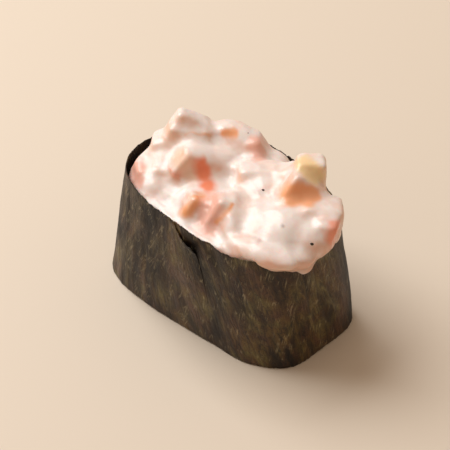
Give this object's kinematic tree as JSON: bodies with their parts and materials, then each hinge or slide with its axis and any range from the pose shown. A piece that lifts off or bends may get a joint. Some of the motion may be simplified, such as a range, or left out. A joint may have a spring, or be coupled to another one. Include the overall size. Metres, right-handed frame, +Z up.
{
  "type": "gunkan sushi",
  "caption": "Upright strip of nori wrapped round a block of rice and heaped with diced salmon in mayonnaise.",
  "frame": {"origin": "middle of the underside, on the surface that the sushi stands on", "axes": "+Z up; +X along the long way, towards the end where the topping overhangs; the strip's end laps over on the -Y side"},
  "size_m": [0.0586, 0.0359, 0.0419],
  "materials": {
    "nori": "toasted seaweed sheet, dark olive brown, matte with a faint sheen",
    "rice": "cooked rice, moist and off-white",
    "mayonnaise": "thin pink-white sauce, glossy",
    "salmon": "raw salmon flesh, moist orange-red"
  },
  "bodies": {
    "root": {"nori_strip": "nori", "rice_block": "rice", "mayo_heap": "mayonnaise", "salmon_peak": "salmon", "salmon_left": "salmon", "salmon_vivid": "salmon", "salmon_near": "salmon", "salmon_creased": "salmon", "salmon_top": "salmon", "salmon_leaning": "salmon", "salmon_pale": "salmon", "salmon_large": "salmon", "salmon_end": "salmon"}
  },
  "joints": []
}
